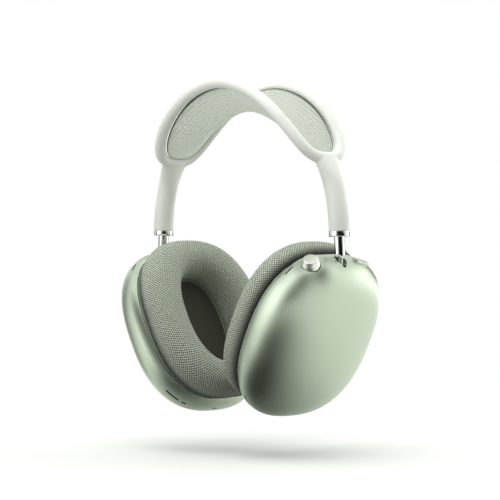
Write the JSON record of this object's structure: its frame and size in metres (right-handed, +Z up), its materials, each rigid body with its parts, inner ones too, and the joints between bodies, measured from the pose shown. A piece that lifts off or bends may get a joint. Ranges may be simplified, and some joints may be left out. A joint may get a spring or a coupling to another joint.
{
  "type": "over-ear headset",
  "caption": "Over-ear headset: sprung headband with a knitted canopy, sliding polished arms, domed metal cups that swivel and tilt, and pull-off knitted cushions.",
  "frame": {"origin": "underside of the canopy at its middle, where the headset rests on the head", "axes": "+X towards the wearer's right, +Y towards the wearer's front, +Z up"},
  "size_m": [0.1499, 0.0873, 0.1876],
  "materials": {
    "sleeve": "satin soft-touch moulding",
    "canopy_knit": "fine open knit",
    "cushion_knit": "fine knit over foam",
    "ear_cloth": "dark acoustic cloth",
    "anodised_shell": "fine bead-blasted and anodised",
    "crown_metal": "satin, turned",
    "polished_steel": "mirror polished",
    "magnet": "plated",
    "cone": "film",
    "cell": "foil pouch",
    "board": "solder-resist",
    "switch": "moulded",
    "mesh": "woven, dark",
    "moulding": "moulded",
    "steel": "machined"
  },
  "bodies": {
    "headband": {"band_sleeve": "sleeve", "band_core": "steel", "canopy": "canopy_knit", "left_collar": "polished_steel", "left_stem_tube": "steel", "left_slide_bush": "moulding", "right_collar": "polished_steel", "right_stem_tube": "steel", "right_slide_bush": "moulding"},
    "left_arm": {"left_arm": "polished_steel", "left_arm_stop": "moulding"},
    "left_knuckle": {"left_knuckle": "steel", "left_swivel_clip": "steel"},
    "left_cup": {"left_shell": "anodised_shell", "left_pivot_block": "steel", "left_tilt_pin": "steel", "left_baffle": "moulding", "left_baffle_magnets": "magnet", "left_driver_basket": "moulding", "left_driver_cone": "cone", "left_driver_magnet": "magnet", "left_battery_tray": "moulding", "left_battery_cells": "cell", "left_screws": "steel", "left_mic_meshes": "mesh"},
    "left_cushion": {"left_cushion": "cushion_knit", "left_cushion_plate": "moulding", "left_cushion_magnets": "magnet", "left_ear_cloth": "ear_cloth"},
    "right_arm": {"right_arm": "polished_steel", "right_arm_stop": "moulding"},
    "right_knuckle": {"right_knuckle": "steel", "right_swivel_clip": "steel"},
    "right_cup": {"right_shell": "anodised_shell", "right_pivot_block": "steel", "right_tilt_pin": "steel", "right_baffle": "moulding", "right_baffle_magnets": "magnet", "right_driver_basket": "moulding", "right_driver_cone": "cone", "right_driver_magnet": "magnet", "right_logic_board": "board", "right_screws": "steel", "right_mic_meshes": "mesh", "crown_housing": "moulding", "crown_switch": "switch", "button_housing": "moulding", "button_switch": "switch", "charge_socket": "steel"},
    "right_cushion": {"right_cushion": "cushion_knit", "right_cushion_plate": "moulding", "right_cushion_magnets": "magnet", "right_ear_cloth": "ear_cloth"},
    "crown_stem": {"crown_stem": "steel"},
    "crown": {"crown": "crown_metal"},
    "mode_button": {"mode_button": "anodised_shell"}
  },
  "joints": [
    {"name": "left_arm_slide", "type": "slide", "parent": "headband", "child": "left_arm", "axis": [-0.0523, 0, -0.9986], "range_m": [-0.007, 0.009]},
    {"name": "left_swivel", "type": "hinge", "parent": "left_arm", "child": "left_knuckle", "pos_m": [-0.06941, 0, -0.08967], "axis": [-0.0523, 0, -0.9986], "range_deg": [-15.2, 86.8]},
    {"name": "left_tilt", "type": "hinge", "parent": "left_knuckle", "child": "left_cup", "pos_m": [-0.06941, 0, -0.08967], "axis": [0.0557, 0.9984, -0.0029], "range_deg": [0, 31], "stiffness_Nm_per_rad": 0.06, "springref_deg": -74.48},
    {"name": "left_cushion_pull", "type": "slide", "parent": "left_cup", "child": "left_cushion", "axis": [0.8816, -0.0478, 0.4695], "range_m": [0, 0.002], "stiffness_N_per_m": 250, "springref_m": -0.006},
    {"name": "right_arm_slide", "type": "slide", "parent": "headband", "child": "right_arm", "axis": [0.0523, 0, -0.9986], "range_m": [-0.007, 0.009]},
    {"name": "right_swivel", "type": "hinge", "parent": "right_arm", "child": "right_knuckle", "pos_m": [0.06941, 0, -0.08967], "axis": [-0.0523, 0, 0.9986], "range_deg": [-7.3, 94.7]},
    {"name": "right_tilt", "type": "hinge", "parent": "right_knuckle", "child": "right_cup", "pos_m": [0.06941, 0, -0.08967], "axis": [-0.0818, -0.9966, -0.0043], "range_deg": [0, 31], "stiffness_Nm_per_rad": 0.06, "springref_deg": -74.48},
    {"name": "right_cushion_pull", "type": "slide", "parent": "right_cup", "child": "right_cushion", "axis": [-0.8801, 0.0702, 0.4696], "range_m": [0, 0.002], "stiffness_N_per_m": 250, "springref_m": -0.006},
    {"name": "crown_press", "type": "slide", "parent": "right_cup", "child": "crown_stem", "axis": [-0.3942, 0.4435, -0.805], "range_m": [0, 0.00035], "stiffness_N_per_m": 1500, "springref_m": -0.0006},
    {"name": "crown_turn", "type": "hinge", "parent": "crown_stem", "child": "crown", "pos_m": [0.06617, -0.02022, -0.08484], "axis": [0.3942, -0.4435, 0.805], "continuous": true},
    {"name": "mode_button_press", "type": "slide", "parent": "right_cup", "child": "mode_button", "axis": [-0.4726, -0.2251, -0.852], "range_m": [0, 0.00035], "stiffness_N_per_m": 1500, "springref_m": -0.0006}
  ]
}
